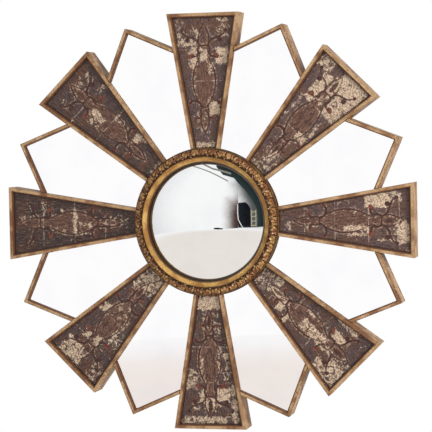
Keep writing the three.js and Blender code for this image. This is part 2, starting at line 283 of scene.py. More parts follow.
def hang_screen(name, y, first, second, near, far, fades=None):
    """A lit strip between two lines of (x, z) places, of one colour near the first and another
    near the second. One that fades is clear along the first line, and as strong along the second
    as fades says of each place."""
    form = bmesh.new()
    share = form.verts.layers.float.new("share")
    for value, line in enumerate((first, second)):
        verts = [form.verts.new((x, y, z)) for x, z in line]
        for pair in zip(verts, verts[1:]):
            form.edges.new(pair)
        for v, strength in zip(verts, fades or [1] * len(verts)):
            v[share] = value * strength
    bmesh.ops.bridge_loops(form, edges=form.edges)
    hide_but_in_mirrors(stand(form, name, glowing(name, near, far, fades is not None)))


def hang_room():
    """What the mirrors show of the room's dark end: a shaded wall, and a doorway in it."""
    wall = [
        (-0.66, 5.72), (0.08, 4.32), (0.72, 3.26), (1.08, 2.27), (1.2, 1.23), (1.29, 0.11),
        (1.27, -1.07),
    ]
    edge = [(0.3, 5.9), (1.9, 5.1), (2.9, 3.9), (3.9, 2.9), (4.6, 1.3), (4.8, -0.07), (4.6, -1.14)]
    fades = (0, 0.4, 0.8, 1, 1, 1, 1)
    hang_screen("shaded wall", -8, wall, edge, "#8C8F8E", "#555857", fades)
    inner = [
        (-1.01, 6.93), (0.01, 5.48), (1.43, 5.08), (1.88, 4.44), (2.86, 3.4), (3.72, 2.15),
        (4.24, 1.17), (4.39, -0.07), (4.28, -1.13),
    ]
    outer = [
        (-1.36, 8.86), (0.33, 8.64), (2.14, 7.71), (3.29, 6.69), (4.53, 5.32), (5.45, 3.72),
        (6.11, 2.2), (6.33, 0.55), (6.29, -1.15),
    ]
    hang_screen("dark end", -7.96, inner, outer, "#2F3A3B", "#0E1112")
    left = [(0.2, 4.4), (-0.1, 2.8), (-0.3, 1.2), (-0.2, 0.12), (-0.2, -1.13)]
    right = [(2.0, 4.4), (1.95, 2.8), (1.9, 1.2), (1.88, 0.1), (1.88, -1.07)]
    fades = (0, 0.25, 0.8, 0.9, 0.9)
    hang_screen("brown curtain", -7.94, left, right, "#A3938C", "#4E3A33", fades)
    jamb = [(1.96, 1.79), (1.83, 1.35), (1.79, 0.55), (1.82, -0.23), (1.9, -1.03)]
    other = [(2.79, 1.89), (3.22, 1.5), (3.45, 0.9), (3.5, -0.16), (3.48, -1.05)]
    hang_screen("doorway", -7.9, jamb, other, "#22262B", "#15181C")
    # A glowing white strip: a painted highlight along the lit edge of the doorway.
    rail = [(1.78, 1.57), (1.77, 0.55), (1.83, -0.12), (2.07, -0.6), (2.34, -1.07)]
    lit = [(x + 0.1, z) for x, z in rail]
    hang_screen("lit door edge", -7.86, rail, lit, "#FFFFFF", "#E8E4DC")
    for x in (3.4, 4.0):
        near = [(x, 1.0), (x, -1.0)]
        far = [(x + 0.1, 1.0), (x + 0.1, -1.0)]
        hang_screen(f"rack post {x}", -7.86, near, far, "#D9D0AE", "#B9B08C")
    for z in (0.68, 0.14, -0.4, -0.92):
        low = [(3.4, z), (4.1, z + 0.05)]
        high = [(3.4, z + 0.08), (4.1, z + 0.13)]
        hang_screen(f"rack shelf {z}", -7.84, low, high, "#D9D0AE", "#B9B08C")
    beams = {
        0.2: [(-4.8, 7.65), (-1.93, 6.13), (0.69, 4.56)],
        0.32: [(-3.98, 8.36), (-1.46, 6.65), (1.03, 5.79)],
    }
    for depth, line in beams.items():
        under = [(x, z - depth) for x, z in line]
        hang_screen(f"beam {depth}", -7.82, line, under, "#A29D94", "#807C74")
    top = [(-0.84, -0.97), (-0.39, -0.94), (0.15, -1.03)]
    foot = [(-0.85, -1.12), (-0.4, -1.15), (0.15, -1.14)]
    hang_screen("far box", -7.8, top, foot, "#3A3A38", "#24241F")


bpy.context.scene.view_settings.view_transform = "Standard"
stand_camera()
light_room()
hang_wall()
hang_room()
hang_lamp("key lamp", place=(3.0, -1.7, 0.9), size=1.3, power=108)
hang_lamp("fill lamp", place=(-2.4, -2.6, 0.6), size=2.0, power=6)
lay_floor()

# ---- The hub board and the boards behind the trays ---------------------------------------------
# The arms are screwed to a disc of dark-stained plywood. A dark-stained fibreboard lies behind
# each decorated glass, and a thicker one carries each flat mirror. A turned packing ring stands on
# the disc, under the edge of the convex mirror.
ARM_COUNT = 8


def keep(node, finish):
    """A CAD piece whose form is right as it is, with its real finish."""
    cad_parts[node].data.materials.clear()
    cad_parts[node].data.materials.append(finish.material)


def piece(form, name, finish, slot, *stands_for, body="root"):
    """Makes an object of a finished form, on its body, with its finish."""
    mesh = bpy.data.meshes.new(name)
    form.to_mesh(mesh)
    form.free()
    made = bpy.data.objects.new(name, mesh)
    bpy.context.collection.objects.link(made)
    mesh.materials.append(finish.material)
    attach(made, body)
    if stands_for:
        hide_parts(*stands_for)
    return made


def drawn_out(finish, place, along, shift=0):
    """The same coordinates, drawn out along their second axis and shifted across it."""
    mapping = finish.node("ShaderNodeMapping")
    mapping.inputs["Location"].default_value = (shift, 0, 0)
    mapping.inputs["Scale"].default_value = (1, 1 / along, 1)
    finish.feed(mapping.inputs["Vector"], place)
    return mapping.outputs["Vector"]


def add_relief(finish, *layers):
    """Bumps, one over the other, each given as its pattern and its height."""
    normal = None
    for pattern, height in layers:
        made = finish.node("ShaderNodeBump")
        finish.feed(made.inputs["Distance"], height)
        finish.feed(made.inputs["Height"], pattern)
        if normal:
            finish.feed(made.inputs["Normal"], normal)
        normal = made.outputs["Normal"]
    finish.set(Normal=normal)


def dark_board(name, tint, streak, along):
    finish = Finish(name, tint, 0.8)
    grain = finish.mottle(1.2 * MM, 6, drawn_out(finish, finish.place, along), 0.4)
    cloud = finish.mottle(60 * MM, 2)
    toned = finish.blend(finish.step(grain, 0.45, 0.75), tint, streak)
    finish.set(Base_Color=finish.blend(finish.step(cloud, 0.35, 0.9), toned, "#231B15"))
    add_relief(finish, (grain, 0.15 * MM))
    return finish


fibreboard = dark_board("stained fibreboard", "#3A2E26", "#55453A", 1.5)
plywood = dark_board("stained plywood", "#4A3829", "#6E553C", 18)
keep("hub_board", plywood)
keep("mirror_seat", plywood)
for number in range(1, ARM_COUNT + 1):
    keep(f"arm_{number}_back", fibreboard)
    keep(f"petal_{number}_back", fibreboard)

# ---- The hangers on the hub board --------------------------------------------------------------
# Two zinc-plated steel straps, each rolled into an eye for a D-ring bent from wire, and each held
# by two pan-head screws. Pan-head screws also join the hub board to the cross rails of the arms.
SCREW_HEAD = 3.6 * MM
SCREW_RISE = 1.3 * MM
SLOT_LENGTH = 6.12 * MM
SLOT_WIDTH = 0.9 * MM
SLOT_LINE = 0.2 * MM
SAME_POINT = 0.01 * MM
HUB_SCREW_RADIUS = 144 * MM
HUB_SCREW_TURNS = (0, 41, 90, 135, 180, 225, 270, 319)
HANGER_SCREW_DROPS = (17 * MM, 33 * MM)
HUB_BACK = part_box("hub_board")[1].y
STRAP_METAL = 1.2 * MM
STRAP_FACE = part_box("hanger_strap_left")[0].y + STRAP_METAL
HINGE_RISE = 120 * MM
HINGE_ASIDE = {"left": -115 * MM, "right": 115 * MM}


def plated_steel():
    finish = Finish("plated steel", "#B9B4A6", 0.34, 0.9)
    scuffs = finish.mottle(1.5 * MM, 5)
    cloud = finish.mottle(9 * MM, 2)
    bright = finish.blend(finish.step(cloud, 0.35, 0.7), "#A9A493", "#CBC7BB")
    finish.set(Base_Color=finish.blend(finish.step(scuffs, 0.62, 0.8), bright, "#6E675A"))
    finish.set(Roughness=finish.reckon("MULTIPLY_ADD", scuffs, 0.3, 0.2))
    add_relief(finish, (scuffs, 0.02 * MM))
    return finish


def add_screw(form, x, z, face, turn):
    """A pan head on a face that looks towards +Y, with its slot as a fine line across the top."""
    start = set(form.verts)
    head = bmesh.ops.create_uvsphere(form, u_segments=20, v_segments=10, radius=SCREW_HEAD)["verts"]
    edges = {e for v in head for e in v.link_edges}
    faces = {f for v in head for f in v.link_faces}
    bmesh.ops.bisect_plane(
        form, geom=[*head, *edges, *faces], dist=SAME_POINT,
        plane_co=(0, 0, 0), plane_no=(0, 0, -1), clear_outer=True,
    )
    head = [v for v in form.verts if v not in start]
    rim = {e for v in head for e in v.link_edges if e.is_boundary}
    bmesh.ops.contextual_create(form, geom=list(rim))
    bmesh.ops.scale(form, verts=head, vec=(1, 1, SCREW_RISE / SCREW_HEAD))
    slot = bmesh.ops.create_cube(form, size=1)["verts"]
    bmesh.ops.scale(form, verts=slot, vec=(SLOT_LENGTH, SLOT_WIDTH, SLOT_LINE))
    bmesh.ops.translate(form, verts=slot, vec=(0, 0, SCREW_RISE))
    made = [v for v in form.verts if v not in start]
    place = Matrix.Translation((x, face, z)) @ Matrix.Rotation(math.radians(-90), 4, "X")
    bmesh.ops.transform(form, verts=made, matrix=place @ Matrix.Rotation(turn, 4, "Z"))


def smooth_all(form):
    for face in form.faces:
        face.smooth = True


def hard_corners(made, degrees):
    """Keeps a smooth piece's real corners crisp."""
    made.data.set_sharp_from_angle(angle=math.radians(degrees))


def merged(node):
    """A merged copy of a CAD piece's form, its flat faces joined up."""
    form = bmesh.new()
    form.from_mesh(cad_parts[node].data)
    bmesh.ops.remove_doubles(form, verts=form.verts, dist=SAME_POINT / 10)
    bmesh.ops.dissolve_limit(form, angle_limit=math.radians(1), verts=form.verts, edges=form.edges)
    return form


def make_hanger(side):
    """The strap and its D-ring, as they are but smooth."""
    node = f"hanger_strap_{side}"
    strap = merged(node)
    smooth_all(strap)
    hard_corners(piece(strap, f"strap_{side}", steel, "plated_steel", node), 40)
    node = f"d_ring_{side}"
    wire = merged(node)
    smooth_all(wire)
    hard_corners(piece(wire, f"wire_ring_{side}", steel, "plated_steel", node, body=f"ring_{side}"), 50)


steel = plated_steel()
screws = bmesh.new()
for side, x in HINGE_ASIDE.items():
    make_hanger(side)
    for count, drop in enumerate(HANGER_SCREW_DROPS):
        add_screw(screws, x, HINGE_RISE - drop, STRAP_FACE, 0.5 + 1.1 * count + 9 * x)
for count, degrees in enumerate(HUB_SCREW_TURNS):
    turn = math.radians(degrees)
    place = (HUB_SCREW_RADIUS * math.sin(turn), HUB_SCREW_RADIUS * math.cos(turn))
    add_screw(screws, *place, HUB_BACK, 0.7 * count)
smooth_all(screws)
hard_corners(piece(screws, "screw_heads", steel, "plated_steel"), 30)

# ---- The gilt rails of the arms and petals ------------------------------------------------------
# Each arm is a tray of four mitred wooden rails, and each petal has two. The wood has a brown
# ground under a thin bronze gilding, which is rubbed through along the sharp edges. The rounded
# inner edge and the wall down to the glass are painted dark brown, partly as a brown wash and
# partly as painted shade in the rebate.
STEP = 2 * math.pi / ARM_COUNT
TRAY_MIDDLE = 0.33
SOFT_EDGE = 1.3 * MM
INNER_ROUND = 2.6 * MM
ROUND_STEPS = 4


def rail_gilding():
    finish = Finish("rail gilding", "#A8855C", 0.5, 0.2)
    cloud = finish.mottle(28 * MM, 4)
    rub = finish.mottle(3.2 * MM, 5, bend=0.6)
    fine = finish.mottle(0.9 * MM, 3)
    laid = finish.blend(finish.step(cloud, 0.42, 0.6), "#9C7652", "#BC9A72")
    laid = finish.blend(finish.step(cloud, 0.46, 0.34), laid, "#80593C")
    laid = finish.blend(finish.step(rub, 0.54, 0.68), laid, "#7C573A", 0.85)
    worn = finish.reckon("MULTIPLY", finish.attribute("arris"), finish.step(rub, 0.34, 0.5))
    laid = finish.blend(worn, laid, "#5A3822", 0.85)
    # The rebate's dark brown: a wash that is also painted shade on the inner edge and walls.
    dark = finish.blend(finish.step(rub, 0.5, 0.68), "#5E3B28", "#7D5437")
    laid = finish.blend(finish.attribute("rebate"), laid, dark, 0.92)
    laid = finish.blend(finish.step(fine, 0.64, 0.74), laid, "#5F4029", 0.4)
    finish.set(Base_Color=laid, Specular_IOR_Level=0.3)
    finish.set(Roughness=finish.reckon("MULTIPLY_ADD", rub, 0.35, 0.32))
    add_relief(finish, (cloud, 0.5 * MM), (rub, 0.12 * MM), (fine, 0.05 * MM))
    return finish


def bevelled(form, edges, width, steps, mark):
    """Rounds these edges, and marks the new faces for the finish."""
    made = bmesh.ops.bevel(
        form, geom=edges, offset=width, affect="EDGES", segments=steps, profile=0.5,
        material=-1, clamp_overlap=True,
    )
    for face in made["faces"]:
        face[mark] = 1


def looks_in(face, middle):
    """Whether a face is a wall that looks at the tray's middle."""
    centre = face.calc_center_median()
    there = Vector((middle.x - centre.x, 0, middle.z - centre.z))
    return abs(face.normal.y) < 0.5 and face.normal.dot(there) > 0


def make_rails(node, name, heading):
    """The rails of the tray that points along heading."""
    form = merged(node)
    arris = form.faces.layers.float.new("arris")
    rebate = form.faces.layers.float.new("rebate")
    middle = heading * TRAY_MIDDLE
    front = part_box(node)[0].y
    inner = []
    for edge in form.edges:
        if all(abs(v.co.y - front) < 0.1 * MM for v in edge.verts):
            if any(looks_in(face, middle) for face in edge.link_faces):
                inner.append(edge)
    # The faces that look into the tray, and the rounded inner edge, get the rebate mark: painted shade.
    for face in form.faces:
        face[rebate] = 1 if looks_in(face, middle) else 0
    bevelled(form, inner, INNER_ROUND, ROUND_STEPS, rebate)
    rest = [e for e in form.edges if e.is_manifold and e.calc_face_angle() > math.radians(40)]
    bevelled(form, rest, SOFT_EDGE, 2, arris)
    for face in form.faces:
        face.smooth = False
    return piece(form, name, gilt_rail, "gilt_rail", node)


gilt_rail = rail_gilding()
for number in range(1, ARM_COUNT + 1):
    arm_turn = Matrix.Rotation((number - 1) * STEP, 4, "Y")
    petal_turn = Matrix.Rotation((number - 0.5) * STEP, 4, "Y")
    make_rails(f"arm_{number}_frame", f"arm_{number}_rails", arm_turn @ Vector((0, 0, 1)))
    make_rails(f"petal_{number}_frame", f"petal_{number}_rails", petal_turn @ Vector((0, 0, 1)))

# ---- The decorated glass of the arms ------------------------------------------------------------
# Each panel is a sheet of glass, decorated on its back: a scroll pattern outlined in dark brown,
# squares of metal leaf laid round it, now mostly lost, and a slate-brown ground behind.
PANEL_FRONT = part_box("arm_1_panel")[0].y
GLASS_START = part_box("ring_moulding")[1].x + 1 * MM
GLASS_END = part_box("arm_1_panel")[1].z
GLASS_HALF_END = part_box("arm_1_panel")[1].x
GLASS_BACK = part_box("arm_1_panel")[1].y
GLASS_TAPER = 48 / 290
RAIL_LAP = 3
GRID_STEP = 1.6 * MM
REACH_OF_LINES = 12
PATCH_EDGE = 8

# The scroll pattern's right half, in millimetres: across from the arm's middle line, and along
# from the mirror's centre. The second value is half a line's width, and the third what its
# middle gains.
OUTLINES = {
    "bud": ([(0, 428), (5, 419), (9.5, 408), (12, 396), (10.5, 384)], 0.8, 0.3),
    "stem": ([(10, 381), (12.5, 388), (20, 394.5), (31, 398), (41, 402.5), (47.5, 409)], 1.3, 0.7),
    "tie": ([(0, 380.5), (6, 380), (11, 377.5)], 1.3, 0.0),
    "neck scroll": ([(11, 379), (13.5, 371), (12.5, 363), (17, 357.5), (25, 356.5)], 1.3, 0.9),
    "vase": (
        [(9, 366), (9.5, 357), (13.5, 348), (19, 336), (23.5, 320), (25, 304), (23.5, 288), (19, 272),
         (12, 258), (6, 249)], 0.9, 0.3,
    ),
    "low tie": ([(0, 247), (5, 247.5), (9, 249.5)], 1.4, 0.0),
    "low scroll": ([(6, 250), (11, 257), (19, 261.5), (28, 260.5), (33, 256)], 1.2, 1.0),
    "low curl": ([(7, 248), (9, 240), (8, 232), (12, 225), (17, 224)], 1.1, 0.5),
    "drop": ([(2.5, 240), (7.5, 228), (8.5, 215), (5, 202), (0, 191)], 0.9, 0.2),
}
CORES = {
    "bud core": ([(0, 415), (0, 385)], 0.4, 4.5),
    "vase core": ([(0, 347), (5.5, 336), (9, 322), (9.5, 308), (7, 292), (0, 274)], 0.6, 0.2),
    "drop core": ([(0, 229), (0, 203)], 0.4, 2.8),
}
DARK_KNOBS = [(48.5, 413, 3.9), (35.5, 392.5, 5.4)]
RED_KNOBS = [(26, 358.5, 5.6), (29.5, 356.5, 4.6), (32, 257, 4.3), (17.5, 226, 3.9)]
VASE_SIDE = [
    (191, 0), (203, 5), (215, 8.5), (232, 8), (247, 6), (258, 12), (272, 19), (288, 23.5),
    (304, 25), (320, 23.5), (336, 19), (348, 13.5), (366, 9), (380, 10.5), (396, 12), (408, 9.5),
    (428, 0),
]

# Where an arm still has its leaf: the left, lower, right and upper edge of each patch, in
# millimetres, and how much of it is left. Arms are numbered clockwise from the top one.
LEAF_LEFT = {
    1: [
        (-60, 378, -14, 397, 0.7), (-62, 398, -46, 446, 0.5), (-27, 398, -8, 424, 0.55),
        (28, 396, 56, 442, 0.5), (-34, 330, -12, 377, 0.75), (24, 340, 60, 376, 0.85),
        (-8, 344, 10, 376, 0.8), (8, 318, 23, 348, 0.7), (8, 228, 36, 264, 0.95),
        (-24, 258, -16, 312, 0.45), (-22, 160, 22, 172, 1.0), (-18, 176, 14, 250, 0.35),
    ],
    2: [
        (-64, 410, -28, 446, 0.75), (-4, 398, 66, 446, 0.9), (14, 340, 62, 400, 0.85),
        (-38, 340, -12, 414, 0.85), (-11, 380, 11, 424, 0.8), (-41, 288, -33, 344, 0.6),
        (30, 282, 38, 330, 0.6), (8, 258, 34, 282, 0.8), (-6, 186, 12, 214, 0.8),
        (-24, 160, 26, 214, 0.4), (-10, 345, 12, 380, 0.45),
    ],
    3: [
        (-66, 344, -27, 398, 0.95), (-66, 396, -40, 424, 0.6), (4, 410, 50, 446, 0.85),
        (62, 430, 74, 446, 0.8), (9, 300, 22, 352, 0.95), (24, 304, 34, 352, 0.85),
        (38, 366, 44, 402, 0.7), (-42, 200, -34, 320, 0.45), (-4, 404, 46, 420, 0.6),
        (2, 172, 20, 186, 0.7), (6, 210, 14, 256, 0.55), (-30, 318, 8, 330, 0.25),
    ],
    4: [
        (-72, 350, -48, 408, 0.9), (14, 398, 66, 440, 0.7), (-34, 358, -14, 396, 0.85),
        (8, 352, 20, 392, 0.9), (-6, 296, 20, 366, 0.8), (-25, 286, -15, 346, 0.65),
        (34, 372, 60, 402, 0.75), (-32, 192, -4, 212, 0.7), (2, 232, 28, 252, 0.85),
        (-10, 196, 10, 246, 0.7), (16, 256, 38, 272, 0.7), (18, 270, 26, 300, 0.6),
        (-24, 160, 22, 200, 0.5), (0, 410, 30, 446, 0.5),
    ],
    5: [
        (-66, 350, -46, 440, 0.75), (-44, 362, -14, 392, 0.95), (-36, 424, 66, 446, 0.7),
        (-12, 382, 12, 416, 0.75), (12, 364, 24, 394, 0.85), (-26, 268, -16, 340, 0.6),
        (13, 296, 22, 336, 0.85), (26, 318, 56, 366, 0.65), (-50, 264, -30, 346, 0.5),
        (-28, 160, 28, 192, 0.95), (-26, 214, -10, 246, 0.55), (4, 228, 16, 246, 0.6),
        (20, 392, 44, 410, 0.5), (-24, 196, 28, 216, 0.3),
    ],
    6: [
        (-8, 396, 52, 444, 0.75), (-66, 396, -32, 446, 0.5), (-14, 354, 6, 377, 0.85),
        (12, 356, 30, 378, 0.85), (-30, 286, -20, 352, 0.8), (-50, 300, -30, 352, 0.45),
        (24, 284, 48, 308, 0.8), (-28, 160, 28, 214, 0.65), (10, 176, 26, 226, 0.6),
        (-20, 250, 20, 300, 0.3),
    ],
    7: [
        (9, 392, 16, 440, 0.6), (-20, 294, 30, 304, 0.9), (-27, 262, -20, 304, 0.75),
        (12, 366, 46, 378, 0.5), (-10, 262, 2, 296, 0.6), (-24, 320, -8, 356, 0.4),
        (-8, 180, 14, 232, 0.4), (20, 318, 30, 348, 0.4),
    ],
    8: [
        (-14, 316, 2, 358, 0.95), (-30, 314, -16, 350, 0.6), (10, 228, 32, 246, 1.0),
        (26, 210, 36, 232, 0.8), (14, 258, 28, 300, 0.45), (-16, 160, 22, 168, 0.9),
        (34, 404, 50, 420, 0.6), (-60, 366, -48, 378, 0.6), (16, 298, 36, 306, 0.8),
        (-46, 396, -34, 420, 0.4), (28, 364, 56, 378, 0.5), (-4, 396, 26, 424, 0.35),
    ],
}
# The seams between the leaf squares, along an arm.
SEAMS = {
    1: (372, 304, 228),
    2: (343, 276, 214),
    3: (418, 352, 280, 214),
    4: (404, 337, 268, 212),
    5: (424, 350, 272),
    6: (373, 304, 236),
    7: (373, 300, 230),
    8: (373, 303, 234),
}
# How much painted shade darkens each arm's ground, most on the left and lower arms away from
# the lamp, how red the ground has become, and how well its inner lines still show.
SHADE_AND_AGEING = {
    1: (0.25, 0.6, 0.1),
    2: (0.2, 0.35, 0.9),
    3: (0.3, 0.4, 0.6),
    4: (0.5, 0.5, 0.8),
    5: (0.6, 0.5, 0.9),
    6: (0.6, 0.7, 0.7),
    7: (1.0, 0.5, 0.35),
    8: (0.7, 0.8, 0.35),
}


def rounded(points):
    """A smooth line through the points, three short steps to each."""
    p = np.array([points[0], *points, points[-1]], float)
    steps = np.linspace(0, 1, 4)[:-1, None]
    line = []
    for a, b, c, d in zip(p, p[1:], p[2:], p[3:]):
        cubed = 3 * b - a - 3 * c + d
        squared = 2 * a - 5 * b + 4 * c - d
        line.append(b + 0.5 * steps * (c - a + steps * (squared + steps * cubed)))
    return np.vstack([*line, p[-1:]])


def distance_to_lines(across, along, lines):
    """How far each place of the glass lies from the pattern's lines, in millimetres."""
    nearest = np.full(across.shape, float(REACH_OF_LINES))
    u = np.abs(across)
    for points, half, swell in lines.values():
        line = rounded(points)
        count = len(line) - 1
        for i in range(count):
            x, y = line[i]
            dx, dy = line[i + 1] - line[i]
            t = np.clip(((u - x) * dx + (along - y) * dy) / (dx**2 + dy**2), 0, 1)
            width = half + swell * np.sin(math.pi * (i + t) / count)
            gap = np.hypot(u - x - t * dx, along - y - t * dy) - width
            nearest = np.minimum(nearest, gap)
    return nearest


def distance_to_knobs(across, along, knobs):
    gaps = [np.hypot(np.abs(across) - x, along - y) - r for x, y, r in knobs]
    return np.minimum(np.min(gaps, axis=0), REACH_OF_LINES)


def leaf_cover(across, along, patches):
    """How much leaf is left at each place, with soft edges."""
    cover = np.zeros(across.shape)
    for left, low, right, high, share in patches:
        inside = np.min([across - left, right - across, along - low, high - along], axis=0)
        cover = np.maximum(cover, share * np.clip(inside / PATCH_EDGE + 0.5, 0, 1))
    return cover


def glass_form():
    """The upward arm's sheet of glass, with a fine grid on its front to carry the pattern."""
    form = bmesh.new()
    rows = round((GLASS_END - GLASS_START) / GRID_STEP)
    columns = round(2 * GLASS_HALF_END / GRID_STEP)
    bmesh.ops.create_grid(form, x_segments=columns, y_segments=rows, size=1)
    for v in form.verts:
        along = (v.co.y + 1) / 2
        z = GLASS_START + along * (GLASS_END - GLASS_START)
        x = v.co.x * (GLASS_HALF_END - GLASS_TAPER * (GLASS_END - z))
        z += (1 - along) * (math.sqrt(GLASS_START**2 - x**2) - GLASS_START)
        v.co = (x, PANEL_FRONT, z)
    rim = [e for e in form.edges if e.is_boundary]
    made = bmesh.ops.extrude_edge_only(form, edges=rim)["geom"]
    back = [g for g in made if isinstance(g, bmesh.types.BMVert)]
    bmesh.ops.translate(form, verts=back, vec=(0, GLASS_BACK - PANEL_FRONT, 0))
    rim = [g for g in made if isinstance(g, bmesh.types.BMEdge) and g.is_boundary]
    bmesh.ops.contextual_create(form, geom=rim)
    bmesh.ops.recalc_face_normals(form, faces=form.faces)
    return form


def leaf_glass(number, dark, red, inner):
    """The decorated glass as seen through its front: the ground, how much painted shade darkens it
    and how red it is, then the vase's brown, the leaf, its seams, the drawn lines with their rubbed
    edges, and a dark band along the glass's edge, part dirt and part painted shade from the rails."""
    finish = Finish("leaf glass", "#54433C", 0.3)
    place = finish.node("ShaderNodeUVMap", uv_map="lay").outputs["UV"]
    place = drawn_out(finish, place, along=1, shift=number)
    cloud = finish.mottle(34 * MM, 4, place)
    patch = finish.mottle(9 * MM, 7, place, 0.8)
    crumb = finish.mottle(3.4 * MM, 5, place, 0.5)
    speck = finish.mottle(1.4 * MM, 4, place)
    streak = finish.mottle(2.4 * MM, 6, drawn_out(finish, place, 6), 0.6)
    hatch = finish.mottle(1.3 * MM, 3, drawn_out(finish, place, 4), 0.4)

    # The ground's first tint is painted shade: darker on the arms that lie away from the lamp.
    ground = finish.blend(dark, "#664A3E", "#35241E")
    slate = finish.blend(dark, "#56484F", "#382D30")
    ground = finish.blend(finish.step(cloud, 0.42, 0.56), ground, slate, 0.6)
    ground = finish.blend(finish.step(cloud, 0.5, 0.36), ground, "#5C392B", red)
    ground = finish.blend(finish.step(streak, 0.52, 0.66), ground, "#7E6152", 0.5)
    ground = finish.blend(finish.step(streak, 0.48, 0.36), ground, "#2C1E1C", 0.6)
    ground = finish.blend(finish.step(speck, 0.58, 0.66), ground, "#A3826A", 0.6)
    ground = finish.blend(finish.step(crumb, 0.44, 0.34), ground, "#241815", 0.7)

    brown = finish.blend(finish.step(streak, 0.4, 0.58), "#432A21", "#735041")
    brown = finish.blend(finish.step(hatch, 0.56, 0.68), brown, "#A98A74", 0.7)
    laid = finish.blend(finish.step(finish.attribute("vase"), -1.0, 1.5), ground, brown, 0.75)

    left = finish.reckon("MULTIPLY_ADD", patch, 2.6, -1.4)
    left = finish.reckon("ADD", finish.attribute("cover"), left)
    left = finish.reckon("ADD", left, finish.reckon("MULTIPLY_ADD", hatch, 1.3, -0.65))
    left = finish.reckon("ADD", left, finish.reckon("MULTIPLY_ADD", speck, 1.3, -0.65))
    aged = finish.blend(finish.step(crumb, 0.36, 0.6), "#A5836A", "#EAD5B8")
    aged = finish.blend(finish.step(hatch, 0.5, 0.4), aged, "#86624E", 0.5)
    aged = finish.blend(finish.step(speck, 0.55, 0.63), aged, "#5C443B", 0.8)
    laid = finish.blend(finish.step(left, 0.36, 0.66), laid, aged, 0.95)

    seam = finish.step(finish.attribute("seam"), 1.2, 0.4)
    seam = finish.reckon("MULTIPLY", seam, finish.step(patch, 0.46, 0.56))
    laid = finish.blend(seam, laid, "#C9B09A", 0.8)

    lines = finish.attribute("lines")
    beside = finish.reckon("MULTIPLY", finish.step(lines, 4.4, 2.0), finish.step(lines, 0.4, 1.2))
    beside = finish.reckon("MULTIPLY", beside, finish.step(hatch, 0.44, 0.56))
    beside = finish.reckon("MULTIPLY", beside, finish.step(patch, 0.46, 0.58))
    laid = finish.blend(beside, laid, "#CDAE92", 0.7)

    worn = finish.step(crumb, 0.42, 0.6)
    red_brown = finish.blend(worn, "#4E2A20", "#83493A")
    laid = finish.blend(finish.step(finish.attribute("red knobs"), 0.6, -0.6), laid, red_brown)
    dark_brown = finish.blend(worn, "#30191A", "#5A332A")
    laid = finish.blend(finish.step(finish.attribute("dark knobs"), 0.6, -0.6), laid, dark_brown)
    wander = finish.reckon("MULTIPLY_ADD", crumb, 2.0, -1.0)
    strength = finish.reckon("MULTIPLY_ADD", finish.step(patch, 0.36, 0.56), 0.35, 0.62)
    drawn = finish.step(finish.reckon("ADD", lines, wander), 0.5, -0.4)
    laid = finish.blend(drawn, laid, "#3C1F19", strength)
    core = finish.step(finish.reckon("ADD", finish.attribute("cores"), wander), 0.5, -0.4)
    laid = finish.blend(core, laid, "#3C1F19", inner)

    # A dark band along the glass's edge by the rails: some dirt, and painted shade cast by the rails.
    dirt_and_shade = finish.reckon("MULTIPLY_ADD", crumb, 6, -3)
    dirt_and_shade = finish.reckon("ADD", finish.attribute("edge"), dirt_and_shade)
    laid = finish.blend(finish.step(dirt_and_shade, 3.6, 0.6), laid, "#3A241B", 0.85)
    finish.set(Base_Color=laid, Roughness=finish.reckon("MULTIPLY_ADD", crumb, 0.25, 0.25))
    finish.set(Coat_Weight=0.08, Coat_Roughness=0.1, Specular_IOR_Level=0.25)
    add_relief(finish, (left, 0.12 * MM), (hatch, 0.06 * MM))
    return finish


upward_glass = glass_form()
lay = upward_glass.loops.layers.uv.new("lay")
for face in upward_glass.faces:
    for loop in face.loops:
        loop[lay].uv = (loop.vert.co.x, loop.vert.co.z)
glass_across = np.array([v.co.x for v in upward_glass.verts]) / MM
glass_along = np.array([v.co.z for v in upward_glass.verts]) / MM
sight_half = (GLASS_HALF_END - GLASS_TAPER * (GLASS_END - glass_along * MM)) / MM - RAIL_LAP
pattern = {
    "lines": distance_to_lines(glass_across, glass_along, OUTLINES),
    "cores": distance_to_lines(glass_across, glass_along, CORES),
    "red knobs": distance_to_knobs(glass_across, glass_along, RED_KNOBS),
    "dark knobs": distance_to_knobs(glass_across, glass_along, DARK_KNOBS),
    "vase": np.interp(glass_along, *zip(*VASE_SIDE)) - np.abs(glass_across),
    "edge": np.minimum(sight_half - np.abs(glass_across), GLASS_END / MM - RAIL_LAP - glass_along),
}
for number in range(1, ARM_COUNT + 1):
    marks = dict(pattern)
    marks["cover"] = leaf_cover(glass_across, glass_along, LEAF_LEFT[number])
    marks["seam"] = np.min([np.abs(glass_along - seam) for seam in SEAMS[number]], axis=0)
    form = upward_glass.copy()
    bmesh.ops.rotate(form, verts=form.verts, matrix=Matrix.Rotation((number - 1) * STEP, 3, "Y"))
    glass = leaf_glass(number, *SHADE_AND_AGEING[number])
    sheet = piece(form, f"arm_{number}_glass", glass, "leaf_panel", f"arm_{number}_panel")
    for name, values in marks.items():
        mark = sheet.data.attributes.new(name, "FLOAT", "POINT")
        mark.data.foreach_set("value", values.astype(np.float32))
upward_glass.free()

# ---- The flat mirrors ---------------------------------------------------------------------------
# A kite of plain silvered glass lies in each petal, against the sides of the arms beside it. The
# silver is clear, with only the faintest haze.


def silvering(name, tint, haze_tint):
    finish = Finish(name, tint, 0.02, 1.0)
    haze = finish.mottle(70 * MM, 3)
    finish.set(Base_Color=finish.blend(finish.step(haze, 0.35, 0.75), tint, haze_tint))
    finish.set(Roughness=finish.reckon("MULTIPLY_ADD", finish.step(haze, 0.4, 0.8), 0.03, 0.01))
    return finish


flat_silver = silvering("flat silvering", "#FEFDFE", "#FAF9FB")
for number in range(1, ARM_COUNT + 1):
    keep(f"petal_{number}_mirror", flat_silver)

